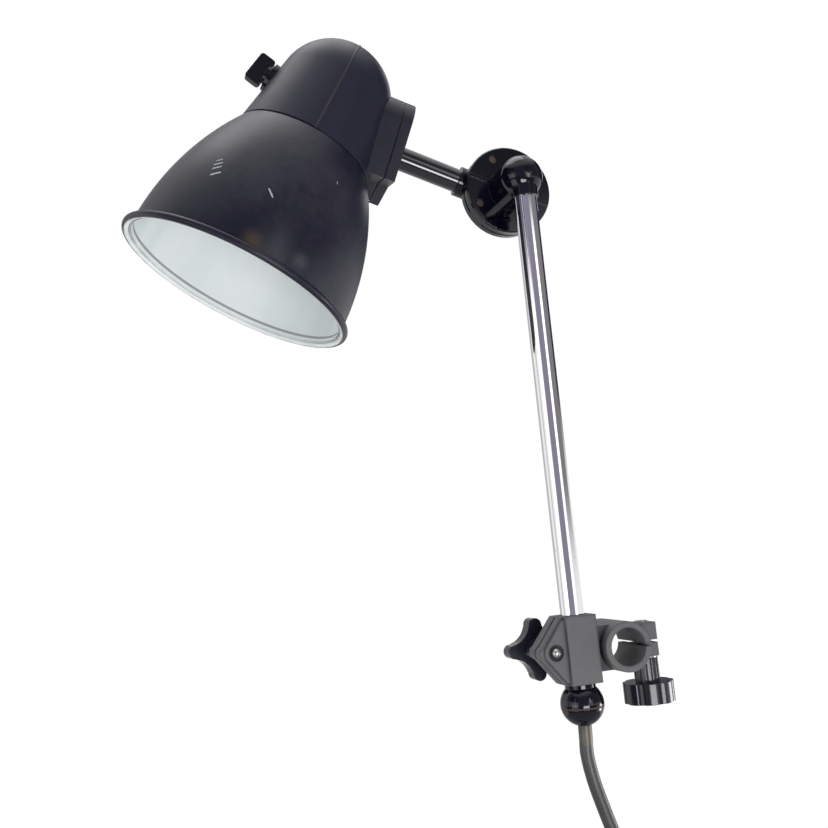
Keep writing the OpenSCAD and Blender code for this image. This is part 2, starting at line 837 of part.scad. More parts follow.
// the same outside in short straight steps, which the saddle is cut by
module dome_steps() {
  step = (90 - taper) / dome_step_count;
  reach = dome_top_r / cos(step / 2);
  curve = [for (k = [0 : dome_step_count - 1]) taper + step * (k + 0.5)];
  rotate_extrude($fn = 144)
    polygon(concat(
      [[0, dome_low], [dome_base_r, dome_low]],
      [for (a = curve) [reach * cos(a), dome_mid + reach * sin(a)]],
      [[0, dome_apex]]));
}
module dome() {
  pads = [[0, nut_r + 1], [bracket_half * 0.8, 4.6], [-bracket_half * 0.8, 4.6]];
  color([0.08, 0.08, 0.09])
    difference() {
      union() {
        at_head()
          rotate_extrude($fn = 144)
            difference() {
              dome_profile(0);
              dome_profile(-dome_wall);
              square([dome_base_r - dome_wall, dome_low + 1]);
              translate([dome_base_r - lip_deep, 0]) square([big, dome_low + lip_h]);
            }
        at_head() rod_z(hang_boss_r, base_top, dome_apex - dome_wall / 2);
        intersection() {
          at_head() dome_solid(-dome_wall / 2);
          at_arm() for (q = pads) translate([q[0], 0, 0]) rod_z(q[1], 0, pad_s);
        }
        at_head()
          intersection() {
            difference() {
              dome_solid(seam_h);
              dome_solid(-1);
            }
            translate([-seam_half, -big, dome_low + lip_h]) cube([2 * seam_half, 2 * big, big]);
          }
      }
      at_arm() rod_z(nipple_r + run, 0, big / 4);
      for (q = [pads[1], pads[2]]) at_arm() translate([q[0], 0, 0]) rod_z(2 + snug, 0, big / 4);
      at_head() rod_z(hang_r + snug, 0, base_top + 12);
      at_switch() rod_z(switch_collar_r - 2.5 + snug, switch_d - 12, switch_d + 5);
      for (row = [0, 1])
        for (a = [103 : 20 : 163])
          at_head()
            rotate(a)
              translate([dome_base_r - 12, -vent_w / 2, dome_low + vent_up + row * vent_step])
                cube([20, vent_w, vent_h]);
    }
}
module shade() {
  color([0.07, 0.07, 0.08])
    at_head()
      rotate_extrude($fn = 144)
        union() {
          difference() {
            intersection() {
              translate([bell_x, bell_low]) circle(r = bell_big, $fn = 720);
              translate([0, bead_r]) square([big, shade_h - bead_r]);
            }
            translate([bell_x, bell_low]) circle(r = bell_big - sheet_t, $fn = 720);
          }
          translate([skirt_r + 0.4, shade_h - sheet_t]) square([neck_r - 1 - skirt_r, sheet_t]);
          translate([rim_r - bead_r - wall_in - sheet_t / 2, bead_r - sheet_t / 2])
            square([wall_in + sheet_t / 2, sheet_t]);
          translate([rim_r - bead_r, bead_r]) circle(r = bead_r, $fn = 36);
        }
}
module shade_ring() {
  color([0.1, 0.1, 0.1])
    at_head() tube_z(collar_out, skirt_r + snug, shade_h - sheet_t - shade_ring_h, shade_h - sheet_t);
}
module holder_skirt() {
  color([0.1, 0.1, 0.1])
    at_head()
      difference() {
        union() {
          rod_z(skirt_r, shade_h - skirt_drop, base_low);
          rod_z(collar_out, shade_h, shade_h + collar_t);
        }
        rod_z(skirt_r - skirt_t, 0, big);
      }
}
module holder_base() {
  color("linen")
    difference() {
      at_head() rod_z(skirt_r, base_low, base_top);
      at_head() rod_z(hang_r + 2.4, 0, base_top - 8);
      at_head() rod_z(hang_r + snug, 0, big);
      at_switch() rod_z(spindle_r + run, hang_r + 5, big);
    }
}
module thread_shell() {
  color("goldenrod")
    at_head()
      union() {
        tube_z(shell_r + shell_t, shell_r, shell_low, base_low - 3);
        tube_z(skirt_r - skirt_t - 0.4, shell_r + shell_t / 2, base_low - 3.5, base_low);
      }
}
module centre_contact() {
  color("goldenrod") at_head() rod_z(contact_r, base_low - contact_h, base_low);
}
module holder_screw() {
  color("silver")
    at_head()
      union() {
        rod_z(hang_r, base_top - 10, base_top + 12);
        rod_z(hang_r + 2, base_top - 11, base_top - 8);
      }
}
module switch_collar() {
  color([0.04, 0.04, 0.05])
    difference() {
      union() {
        difference() {
          at_switch() rod_z(switch_collar_r, switch_d - 3, switch_d + switch_collar_t);
          at_head() dome_solid(0);
        }
        at_switch() rod_z(switch_collar_r - 2.5, switch_d - 5, switch_d + switch_collar_t);
      }
      at_switch() rod_z(spindle_r + run, 0, big);
    }
}
module switch_spindle() {
  color("silver") at_switch() rod_z(spindle_r, hang_r + 6, switch_d + switch_collar_t + 4);
}
module switch_paddle() {
  low = switch_d + switch_collar_t + 0.4;
  half = paddle_len / 2 - paddle_round;
  color([0.03, 0.03, 0.03])
    at_switch()
      difference() {
        union() {
          rod_z(switch_collar_r - 3.5, low, low + 2.2);
          translate([0, paddle_t / 2, low + 1.2])
            rotate([90, 0, 0])
              linear_extrude(paddle_t)
                union() {
                  translate([-half, 0]) square([2 * half, paddle_h]);
                  translate([-half - paddle_round, paddle_round])
                    square([paddle_len, paddle_h - 2 * paddle_round]);
                  for (x = [-half, half])
                    for (z = [paddle_round, paddle_h - paddle_round])
                      translate([x, z]) circle(r = paddle_round);
                }
        }
        rod_z(spindle_r + snug, 0, switch_d + switch_collar_t + 4);
      }
}

clamp_body();
cheek_washer();
lug_washer();
star_stud();
star_knob();
thumb_stud();
thumb_knob();
rod_tube();
ball_upper();
ball_gasket();
ball_lower();
cord_bush();
rod_lead();
cord();
cord_coil();
cord_tie();
plug_body();
plug_pins();
disc_front();
disc_screws();
pivot_stud();
pivot_washer();
pivot_nut();
friction_washer();
disc_rear();
arm_tube();
arm_lead();
bracket_outer();
nipple();
nipple_nut();
bracket_inner();
saddle_screws();
dome();
shade();
shade_ring();
holder_skirt();
holder_base();
thread_shell();
centre_contact();
holder_screw();
switch_collar();
switch_spindle();
switch_paddle();
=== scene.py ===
# %% [markdown]
# # A clamp-on task lamp
# The packed model is the skeleton: every solid is already in its place, in metres. This script
# looks at it through a camera, lays the cord as one curve, and gives each solid the surface that
# the old lamp has. The solids carry the whole form, so what is left for Blender is the soft cord,
# the finishes, and the room that they reflect.

# %% load the frame
import math

import bmesh
import bpy
from mathutils import Matrix, Vector


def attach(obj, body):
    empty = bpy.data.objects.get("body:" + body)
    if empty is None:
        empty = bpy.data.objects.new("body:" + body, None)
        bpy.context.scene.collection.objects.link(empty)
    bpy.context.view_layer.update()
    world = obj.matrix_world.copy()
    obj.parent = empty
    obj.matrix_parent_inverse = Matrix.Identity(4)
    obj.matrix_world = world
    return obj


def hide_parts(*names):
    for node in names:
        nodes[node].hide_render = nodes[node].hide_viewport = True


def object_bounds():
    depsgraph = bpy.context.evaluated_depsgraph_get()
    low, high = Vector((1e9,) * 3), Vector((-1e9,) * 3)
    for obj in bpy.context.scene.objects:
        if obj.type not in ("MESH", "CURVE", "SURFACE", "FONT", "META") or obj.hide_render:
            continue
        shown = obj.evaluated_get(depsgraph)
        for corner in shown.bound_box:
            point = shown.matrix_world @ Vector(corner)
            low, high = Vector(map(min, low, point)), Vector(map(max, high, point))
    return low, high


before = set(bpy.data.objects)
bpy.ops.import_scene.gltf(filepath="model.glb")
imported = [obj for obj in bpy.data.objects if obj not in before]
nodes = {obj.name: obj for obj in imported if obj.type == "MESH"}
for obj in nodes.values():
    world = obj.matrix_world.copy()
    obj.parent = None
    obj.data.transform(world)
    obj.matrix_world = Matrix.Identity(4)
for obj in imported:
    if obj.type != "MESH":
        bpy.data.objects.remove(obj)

cad_box = [list(corner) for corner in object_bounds()]
scene = bpy.context.scene
scene.view_settings.view_transform = "Standard"
print("solids:", len(nodes), "box:", cad_box)

# %% [markdown]
# ## The axis of the head
# The shade hangs at a slant, and its finishes need its axis: it tells the inside of the shade
# from the outside, and how high above the rim a point lies. The axis could be measured from the
# mesh. The solids were built from these few numbers, though, so they are written down once.

# %% the head's axis, in metres
MM = 0.001
HEAD_TILT = math.radians(30.65)
SHADE_UP = Vector((math.sin(HEAD_TILT), 0, math.cos(HEAD_TILT)))
SHADE_SIDE = Vector((math.cos(HEAD_TILT), 0, -math.sin(HEAD_TILT)))
SHADE_BACK = Vector((0, 1, 0))
SHADE_H = 95 * MM
HEAD = Vector((-142.7178, 38, 335.4020)) * MM
HEAD_TO_RIM = 118.7
RIM = HEAD - SHADE_UP * HEAD_TO_RIM * MM


def in_head(x, y, h):
    """A point of the head: x towards the arm, y back, h up from the rim, in millimetres."""
    return RIM + (SHADE_SIDE * x + SHADE_BACK * y + SHADE_UP * h) * MM


print("rim's middle:", [round(v, 4) for v in RIM])

# %% [markdown]
# ## The camera
# The photograph was taken from a little below and to the left of the lamp, with the camera
# slightly rolled. A camera can be aimed with a constraint, but that leaves no room for the roll.
# Position, roll and lens come from lining up the rod, the rim's ellipse and the clamp with the
# frame, so the directions below are written out as they were solved.

# %% camera
SENSOR_MM, LENS_MM = 36.0, 44.73
EYE_AT = (-0.27643, -0.56902, 0.07364)
eye = bpy.data.cameras.new("eye")
eye.sensor_width = SENSOR_MM
eye.lens = LENS_MM
eye.clip_start = 0.01
camera = bpy.data.objects.new("camera", eye)
scene.collection.objects.link(camera)
look_right = Vector((0.95848, -0.26850, -0.09608))
look_up = Vector((0.05943, -0.14146, 0.98816))
look_back = look_right.cross(look_up).normalized()
look_up = look_back.cross(look_right).normalized()
turn = Matrix((look_right.normalized(), look_up, look_back)).transposed().to_4x4()
camera.matrix_world = Matrix.Translation(EYE_AT) @ turn
scene.camera = camera
print("camera at", [round(v, 4) for v in camera.location])

# %% [markdown]
# ## The cord's line
# A rubber mains cord, 8 mm thick, leaves the ball under the clamp and hangs out of the picture.
# The rest of its two metres is wound into a tied coil below the frame. A coil drawn by hand
# would never lie evenly, so it is a formula: in towards the middle on one layer, a step back,
# and out again on the next. The free stretch follows a few points, smoothed, and a short tail
# leads from the coil to the plug.

# %% the cord's line
CORD_D = 8 * MM
CORD_Y, CORD_Z = -2, -42.42  # millimetres, as in ROUTE
COIL_IN, COIL_STEP = 33 * MM, 8.5 * MM
COIL_MID = Vector((-40, -2, -214)) * MM
TURNS_IN, TURNS = 3.25, 6
POINTS_A_TURN = 48
TAIL_BACK, TAIL_DOWN = 8 * MM, 34 * MM
TAIL_POINTS, TAIL_EASE = 6, 4
ROUTE = [(-26, CORD_Z), (-26.2, -50), (-26.6, -58), (-25.6, -67), (-23.6, -77), (-20.6, -88),
         (-16.4, -102), (-11.2, -117), (-4.6, -133), (3, -149), (10.4, -165), (16.4, -181),
         (19.6, -194)]


def ease(x):
    """0 to 1 with a soft start and end."""
    x = min(max(x, 0.0), 1.0)
    return x * x * (3 - 2 * x)


def coil_point(t):
    """The coil's middle line after t turns. It steps back within half a turn."""
    r = COIL_IN + COIL_STEP * abs(t - TURNS_IN)
    back = COIL_STEP * ease((t - TURNS_IN + 0.25) * 2)
    a = 2 * math.pi * t
    return COIL_MID + Vector((r * math.cos(a), back, -r * math.sin(a)))


def smooth_line(points, per):
    """A Catmull-Rom line through the points, with `per` steps between two of them."""
    out = []
    for i in range(len(points) - 1):
        p0, p1 = points[max(i - 1, 0)], points[i]
        p2, p3 = points[i + 1], points[min(i + 2, len(points) - 1)]
        for k in range(per):
            t = k / per
            out.append(0.5 * (2 * p1 + (p2 - p0) * t + (2 * p0 - 5 * p1 + 4 * p2 - p3) * t * t
                              + (3 * p1 - p0 - 3 * p2 + p3) * t ** 3))
    out.append(points[-1])
    return out


free = [Vector((x, CORD_Y, z)) * MM for x, z in ROUTE]
free.append(coil_point(0) + Vector((0, 0, CORD_D)))
coil = [coil_point(k / POINTS_A_TURN) for k in range(POINTS_A_TURN * TURNS + 1)]
tail = [coil[-1]]
for k in range(1, TAIL_POINTS + 1):
    sag = Vector((0, TAIL_BACK * ease((k - 1) / TAIL_EASE), -TAIL_DOWN * k / TAIL_POINTS))
    tail.append(coil[-1] + sag)
line = smooth_line(free, per=5) + coil + smooth_line(tail, per=4)[1:]

# %% [markdown]
# ## The cord
# A curve with a round bevel is a cord with no modelling at all, and its thickness stays true in
# every bend. With a bevel depth of 1, each point's radius is the cord's own radius in metres.
# The cord goes up and down with the rod, because it hangs from the ball at the rod's end.

# %% cord
cord_curve = bpy.data.curves.new("mains_cord", "CURVE")
cord_curve.dimensions = "3D"
cord_curve.bevel_depth = 1.0
cord_curve.bevel_resolution = 6
cord_curve.use_fill_caps = True
spline = cord_curve.splines.new("POLY")
spline.points.add(len(line) - 1)
for point, place in zip(spline.points, line):
    point.co = (*place, 1.0)
    point.radius = CORD_D / 2
spline.use_smooth = True
mains_cord = bpy.data.objects.new("mains_cord", cord_curve)
scene.collection.objects.link(mains_cord)
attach(mains_cord, "rod")
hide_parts("cord", "cord_coil")
print("cord:", mains_cord.name, "from", [round(v, 4) for v in line[0]])

# %% [markdown]
# ## Tools for materials
# Nodes can be placed by hand in the shader editor, but a script is easier to read when each one
# is a single call. `Net` adds a node, joins what it is given to its inputs, and hands back one
# output. The methods below it are the few nodes that nearly every finish needs.

# %% node helpers


class Net:
    """A node tree with a short way to add a node and join its inputs."""

    def __init__(self, tree):
        self.tree = tree

    def feed(self, slot, value):
        """Joins a socket to an input, or sets the input's own value."""
        if isinstance(value, bpy.types.NodeSocket):
            self.tree.links.new(value, slot)
        else:
            slot.default_value = value

    def add(self, kind, out=0, settings=None, **inputs):
        """A new node's output. Inputs go by name, or by number as i0, i1 and so on."""
        node = self.tree.nodes.new(kind)
        for key, value in (settings or {}).items():
            setattr(node, key, value)
        for key, value in inputs.items():
            which = int(key[1:]) if key[1:].isdigit() else key.replace("_", " ")
            self.feed(node.inputs[which], value)
        return node.outputs[out]

    def where(self):
        """The shaded point, in the object's own metres."""
        return self.add("ShaderNodeTexCoord", 3)

    def math(self, how, a, b=0.0, c=0.0, clamp=False):
        """One sum on plain values, such as ADD or MAXIMUM."""
        return self.add("ShaderNodeMath", 0, {"operation": how, "use_clamp": clamp},
                        i0=a, i1=b, i2=c)

    def times(self, a, b, clamp=False):
        return self.math("MULTIPLY", a, b, clamp=clamp)

    def most(self, values):
        """The greatest of several values."""
        best = values[0]
        for value in values[1:]:
            best = self.math("MAXIMUM", best, value)
        return best

    def vec(self, how, a, b=(0, 0, 0), out=0):
        """One sum on vectors. Output 1 is for sums that give a plain value."""
        return self.add("ShaderNodeVectorMath", out, {"operation": how}, i0=a, i1=b)

    def dot(self, a, b):
        return self.vec("DOT_PRODUCT", a, b, out=1)

    def distance(self, a, b):
        return self.vec("LENGTH", self.vec("SUBTRACT", a, b), out=1)

    def scaled(self, vector, factor):
        """A vector times a plain value."""
        return self.add("ShaderNodeVectorMath", 0, {"operation": "SCALE"}, i0=vector, i3=factor)

    def ramp(self, x, low, high, to_low=0.0, to_high=1.0):
        """x from low..high to to_low..to_high, smooth and clamped."""
        return self.add("ShaderNodeMapRange", 0, {"interpolation_type": "SMOOTHSTEP"},
                        i0=x, i1=low, i2=high, i3=to_low, i4=to_high)

    def mix(self, share, a, b):
        """Colour a, with this share of colour b."""
        return self.add("ShaderNodeMix", 2, {"data_type": "RGBA"}, i0=share, i6=a, i7=b)

    def noise(self, place, scale, detail=3.0, rough=0.5):
        return self.add("ShaderNodeTexNoise", 0, None, Vector=place, Scale=scale, Detail=detail,
                        Roughness=rough)


print("short calls for nodes:", [name for name in vars(Net) if not name.startswith("_")])

# %% [markdown]
# ## Node groups
# An effect that several finishes share is a node group with named sockets. It is made once and
# placed in each material with its own values, so a better scratch is better everywhere.

# %% group helpers
FLOAT, VECTOR = "NodeSocketFloat", "NodeSocketVector"


def effect(name, inputs, outputs):
    """An empty node group with the given sockets: (tree, Net, inputs, outputs)."""
    tree = bpy.data.node_groups.new(name, "ShaderNodeTree")
    for label, kind, value in inputs:
        socket = tree.interface.new_socket(label, in_out="INPUT", socket_type=kind)
        socket.default_value = value
    for label in outputs:
        tree.interface.new_socket(label, in_out="OUTPUT", socket_type=FLOAT)
    take = tree.nodes.new("NodeGroupInput").outputs
    give = tree.nodes.new("NodeGroupOutput").inputs
    return tree, Net(tree), take, give


def place_effect(net, tree, **values):
    """Puts a group into a material and returns its outputs."""
    node = net.tree.nodes.new("ShaderNodeGroup")
    node.node_tree = tree
    for key, value in values.items():
        net.feed(node.inputs[key], value)
    return node.outputs


print("group helpers ready")

# %% [markdown]
# ## Effect: worn edges
# On an old lamp the corners lose their finish first. A mask painted by hand would have to be
# painted for every piece. The Bevel node finds the corners by itself: it gives a rounded normal,
# and where that differs from the true normal there is an edge. Noise leaves parts of it whole.

# %% effect: worn edges
BEVEL_SAMPLES = 6
worn_edges, net, take, give = effect(
    "worn_edges", [("Width", FLOAT, 0.0006), ("Amount", FLOAT, 0.5), ("Patch", FLOAT, 60.0)],
    ["Mask"])
rounded = net.add("ShaderNodeBevel", 0, {"samples": BEVEL_SAMPLES}, Radius=take["Width"])
true_normal = net.add("ShaderNodeNewGeometry", 1)
bend = net.math("SUBTRACT", 1.0, net.dot(rounded, true_normal))
patch = net.noise(net.where(), take["Patch"], 5.0, 0.65)
raised = net.times(net.ramp(bend, 0.02, 0.22), net.ramp(patch, 0.42, 0.62))
net.feed(give["Mask"], net.times(raised, take["Amount"], clamp=True))
print("worn edges:", len(worn_edges.nodes), "nodes")

# %% [markdown]
# ## Effect: patchy polish
# Hands and cloths leave a surface shinier in some places than in others. One even roughness is
# what makes a render look like plastic. Two noises, one broad and one fourteen times finer, give
# a roughness that wanders between a low and a high value, and the same patches as a mask.

# %% effect: patchy polish
patchy, net, take, give = effect(
    "patchy_polish", [("Scale", FLOAT, 30.0), ("Low", FLOAT, 0.2), ("High", FLOAT, 0.4)],
    ["Roughness", "Patch"])
where = net.where()
broad = net.noise(where, take["Scale"], 4.0, 0.55)
fine = net.noise(where, net.times(take["Scale"], 14.0), 3.0, 0.6)
both = net.math("ADD", net.times(broad, 0.75), net.times(fine, 0.25))
net.feed(give["Patch"], both)
net.feed(give["Roughness"], net.add("ShaderNodeMapRange", 0, None, i0=both, i1=0.3, i2=0.7,
                                    i3=take["Low"], i4=take["High"]))
print("patchy polish:", len(patchy.nodes), "nodes")

# %% [markdown]
# ## Effect: scratches
# Years of handling leave fine scratches in a few directions. Modelled grooves would be far too
# fine for a mesh. Noise that is stretched along one axis has long thin lines where it crosses
# its middle value. Three such noises, each turned another way, are kept only here and there.

# %% effect: scratches
SCRATCH_RUNS = [(0.5, (1.0, 22.0, 3.0)), (2.1, (18.0, 1.0, 6.0)), (1.2, (5.0, 1.2, 24.0))]
SCRATCH_WIDTH = 0.012
scratched, net, take, give = effect(
    "scratches", [("Density", FLOAT, 0.5), ("Length", FLOAT, 60.0)], ["Mask"])
where = net.where()
begins = net.math("SUBTRACT", 0.92, net.times(take["Density"], 0.3))
runs = []
for turned, stretch in SCRATCH_RUNS:
    swung = net.add("ShaderNodeVectorRotate", 0, None, Vector=where, Angle=turned)
    drawn = net.noise(net.vec("MULTIPLY", swung, stretch), take["Length"], 2.0, 0.4)
    off_middle = net.math("ABSOLUTE", net.math("SUBTRACT", drawn, 0.5))
    thin = net.ramp(off_middle, 0.0, SCRATCH_WIDTH, 1.0, 0.0)
    spread = net.noise(net.vec("ADD", where, (turned, 0, turned)), 26.0, 2.0)
    runs.append(net.times(thin, net.ramp(spread, begins, 0.95)))
net.feed(give["Mask"], net.most(runs))
print("scratches:", len(runs), "directions")

# %% [markdown]
# ## Effect: dust specks
# Dust settles as tiny separate specks, more in some places than in others. Thousands of small
# meshes would be a waste. Voronoi cells give one dot to each cell and a random colour by which
# most cells are left out, and broad noise lets the rest drift together.

# %% effect: dust specks
dusty, net, take, give = effect(
    "dust_specks", [("Scale", FLOAT, 900.0), ("Amount", FLOAT, 0.5)], ["Mask"])
where = net.where()
cell = net.tree.nodes.new("ShaderNodeTexVoronoi")
net.feed(cell.inputs["Vector"], where)
net.feed(cell.inputs["Scale"], take["Scale"])
speck = net.ramp(cell.outputs["Distance"], 0.08, 0.2, 1.0, 0.0)
chance = net.add("ShaderNodeSeparateColor", 0, None, Color=cell.outputs["Color"])
few = net.ramp(chance, 0.82, 0.9)
drift = net.ramp(net.noise(where, 22.0, 3.0), 0.4, 0.65)
net.feed(give["Mask"], net.times(net.times(speck, few), net.times(drift, take["Amount"]),
                                 clamp=True))
print("dust specks:", len(dusty.nodes), "nodes")

# %% [markdown]
# ## Effect: one stroke
# Random scratches can't stand for a knock that the photograph shows in one place. Such a knock
# is a short pale stroke between two points: the mask is the distance from that stretch of line,
# cut off at a ragged width.

# %% effect: one stroke
stroke, net, take, give = effect(
    "stroke", [("From", VECTOR, (0, 0, 0)), ("To", VECTOR, (0, 0, 0.01)),
               ("Width", FLOAT, 0.0008)], ["Mask"])
where = net.where()
whole = net.vec("SUBTRACT", take["To"], take["From"])
reach = net.vec("SUBTRACT", where, take["From"])
share = net.math("DIVIDE", net.dot(reach, whole), net.dot(whole, whole), clamp=True)
away = net.distance(reach, net.scaled(whole, share))
ragged = net.ramp(net.noise(where, 1400.0, 2.0), 0.3, 0.7, 0.3, 0.75)
net.feed(give["Mask"], net.math("LESS_THAN", away, net.times(take["Width"], ragged)))
print("effects:", [g.name for g in bpy.data.node_groups])

# %% [markdown]
# ## Finishes
# Each finish is a material with one Principled shader. `finish` starts it with the plain numbers,
# which are the same all over the surface, and keeps it by name. Whatever varies is joined to it
# afterwards. `grain` adds bumps on a normal that the Bevel node has rounded, so that even the
# sharp edges of a solid catch a little light.

# %% start of a finish
finishes = {}


def finish(name, **numbers):
    """A new material, kept by its name: its Net and its Principled shader."""
    material = bpy.data.materials.new(name)
    material.use_nodes = True
    finishes[name] = material
    shader = material.node_tree.nodes["Principled BSDF"]
    for key, value in numbers.items():
        shader.inputs[key.replace("_", " ")].default_value = value
    return Net(material.node_tree), shader


def join(net, shader, **sockets):
    """Joins sockets to the shader's inputs by name."""
    for key, socket in sockets.items():
        net.feed(shader.inputs[key.replace("_", " ")], socket)


def grain(net, shader, height, strength, distance, soft_edge=0.0005):
    """Fine bumps, on edges that look a little rounded."""
    rounded = net.add("ShaderNodeBevel", 0, {"samples": BEVEL_SAMPLES}, Radius=soft_edge)
    join(net, shader, Normal=net.add("ShaderNodeBump", 0, None, Strength=strength,
                                     Distance=distance, Height=height, Normal=rounded))


def grey(v, tint=(1.0, 1.0, 1.0)):
    """A grey as a colour, with a tint."""
    return (v * tint[0], v * tint[1], v * tint[2], 1.0)


print("finish maker ready")

# %% [markdown]
# ## The shade: which side is which
# One sheet of metal carries three finishes: black enamel outside, pale silver paint inside, and
# a line of bare metal along the rolled rim. Three materials on chosen faces would need the faces
# picked again after each change of the solid. The shade's axis does it by itself: a face that
# looks away from the axis is outside, and the rim is known by its height.

# %% shade: the masks
# Heights above the rim in metres. Each pair is a soft step.
BEAD_TOP = (0.0044, 0.0048)
GROOVE_FROM, GROOVE_TO = (0.0040, 0.0045), (0.0056, 0.0062)
NECK_TOP = (SHADE_H - 0.0018, SHADE_H - 0.0014)
net, shader = finish("shade_enamel", Specular_IOR_Level=0.36)
where = net.where()
facing = net.add("ShaderNodeTexCoord", 1)
from_rim = net.vec("SUBTRACT", where, tuple(RIM))
height = net.dot(from_rim, tuple(SHADE_UP))
along = net.scaled(tuple(SHADE_UP), height)
outward = net.vec("NORMALIZE", net.vec("SUBTRACT", from_rim, along))
sideways = net.dot(facing, outward)
looks_down = net.dot(facing, tuple(-SHADE_UP))
outside = net.most([net.ramp(sideways, -0.1, 0.1), net.ramp(height, *NECK_TOP)])
# painted shade: a darker band in the crease where the inner wall meets the rolled bead
groove_shade = net.times(net.ramp(height, *GROOVE_FROM), net.ramp(height, *GROOVE_TO, 0.75, 0.0))
under_bead = net.times(net.ramp(height, *BEAD_TOP, 1.0, 0.0), net.ramp(looks_down, 0.6, 0.75))
print("shade masks: outside, groove, under the bead")

# %% [markdown]
# ## The shade: enamel outside
# The enamel is a bluish black, cloudy with old polish, with specks of dust. The photograph shows
# a few knocks on its left side and some stains near the rim. They sit on the shade itself, each
# at its own place in millimetres, so they stay there from every side.

# %% shade: enamel
KNOCKS = [  # from, to, width, in millimetres on the head
    ((-38.82, -51.51, 45.4), (-36.37, -52.72, 47.2), 0.5),
    ((-38.90, -52.38, 42.2), (-35.37, -54.06, 45.0), 0.7),
    ((-38.51, -53.39, 39.4), (-34.96, -55.08, 42.2), 0.7),
    ((-37.5, -55.2, 35.2), (-34.0, -56.8, 38.2), 1.0),
    ((-5.9, -65.6, 40.0), (-2.2, -66.3, 36.6), 0.8),
    ((24.6, -50.6, 73.0), (25.8, -51.4, 68.0), 0.35)]
SMUDGES = [  # middle, radius, colour
    ((-1.1, -69.2, 8.1), 9, (0.075, 0.052, 0.024, 1)),
    ((27.1, -63.6, 11.9), 8, (0.06, 0.062, 0.07, 1)),
    ((50.4, -47.4, 2.4), 3, (0.42, 0.2, 0.11, 1))]
ENAMEL_DARK, ENAMEL_PALE = (0.006, 0.006, 0.019, 1), (0.023, 0.023, 0.037, 1)
CHIPPED = (0.45, 0.50, 0.52, 1)
polish = place_effect(net, patchy, Scale=22.0, Low=0.30, High=0.46)
marks = place_effect(net, scratched, Density=0.25, Length=40.0)["Mask"]
dust = place_effect(net, dusty, Scale=800.0, Amount=0.5)["Mask"]
enamel = net.mix(net.ramp(polish["Patch"], 0.34, 0.66), ENAMEL_DARK, ENAMEL_PALE)
enamel = net.mix(net.times(net.math("ADD", marks, dust, clamp=True), 0.6), enamel, grey(0.2))
knocked = net.most([
    place_effect(net, stroke, From=tuple(in_head(*start)), To=tuple(in_head(*stop)),
                 Width=wide * MM)["Mask"] for start, stop, wide in KNOCKS])
enamel = net.mix(knocked, enamel, CHIPPED)
for spot, wide, stain in SMUDGES:
    near = net.ramp(net.distance(where, tuple(in_head(*spot))), 0.0, wide * MM, 1.3, 0.0)
    cloud = net.times(near, net.noise(where, 260.0, 3.0, 0.6), clamp=True)
    enamel = net.mix(cloud, enamel, stain)
print("on the shade:", len(KNOCKS), "knocks,", len(SMUDGES), "stains")

# %% [markdown]
# ## The shade: silver inside, bare rim
# The inside is sprayed with pale silver. Faint lighter and darker streaks that run from the neck
# to the rim are painted sheen, standing in for the highlights of the spun metal. Noise over the
# outward direction gives just that, because the direction is the same all along a streak. A band
# just above the bead is darkened as painted shade in the crease there. Under the rolled bead the
# enamel has worn off to bare metal with a little rust.

# %% shade: silver, rim and the whole
SILVER_DARK, SILVER_PALE = (0.80, 0.86, 0.86, 1), (0.95, 0.985, 0.975, 1)
RUST = (0.30, 0.16, 0.09, 1)
# painted sheen: lighter and darker streaks from neck to rim stand in for the highlights of spun
# metal
sheen_streaks = net.ramp(net.noise(outward, 1.7, 2.0), 0.32, 0.68)
silver = net.mix(groove_shade, net.mix(sheen_streaks, SILVER_DARK, SILVER_PALE), grey(0.2))
rusty = net.ramp(net.noise(where, 40.0, 3.0), 0.58, 0.7)
bare = net.mix(rusty, grey(0.35, (1, 1, 0.97)), RUST)
crest = net.times(under_bead, net.ramp(net.math("ABSOLUTE", sideways), 0.12, 0.3, 1.0, 0.0))
rim_worn = net.times(crest, net.ramp(net.noise(where, 120.0, 4.0, 0.6), 0.35, 0.6))
colour = net.mix(rim_worn, net.mix(outside, silver, enamel), bare)
rough = net.add("ShaderNodeMix", 0, {"data_type": "FLOAT"},
                i0=outside, i2=0.5, i3=polish["Roughness"])
join(net, shader, Base_Color=colour, Metallic=net.times(rim_worn, 0.8), Roughness=rough)
grain(net, shader, net.noise(where, 380.0, 3.0), 0.05, 0.0004, 0.0003)
print("shade:", len(net.tree.nodes), "nodes")

# %% [markdown]
# ## Black mouldings
# The hood and bracket are an old dark moulding, rubbed to a satin with a cloudy surface. The
# knobs, discs, arm and ball are the same black with a glassy skin. Five separate materials would
# repeat the same nodes, so both come from one recipe with different numbers.

# %% black mouldings


def moulding(name, dark, tint, rough, edge, edge_grey, dust_amount, bump, coat=0.0, shine=0.5):
    """A black moulding with rubbed edges: its Net, shader and colour."""
    net, shader = finish(name, Coat_Weight=coat, Coat_Roughness=0.06, Specular_IOR_Level=shine)
    polish = place_effect(net, patchy, Scale=34.0, Low=rough[0], High=rough[1])
    rubbed = place_effect(net, worn_edges, Width=0.0007, Amount=edge, Patch=80.0)["Mask"]
    marks = place_effect(net, scratched, Density=0.3, Length=55.0)["Mask"]
    dust = place_effect(net, dusty, Scale=1000.0, Amount=dust_amount)["Mask"]
    colour = net.mix(polish["Patch"], grey(dark * 0.8, tint), grey(dark * 1.25, tint))
    colour = net.mix(net.times(net.math("ADD", marks, dust, clamp=True), 0.4), colour, grey(0.2))
    colour = net.mix(rubbed, colour, grey(edge_grey))
    join(net, shader, Base_Color=colour, Roughness=polish["Roughness"])
    grain(net, shader, net.noise(net.where(), 420.0, 4.0, 0.6), bump, 0.0003)
    return net, shader, colour


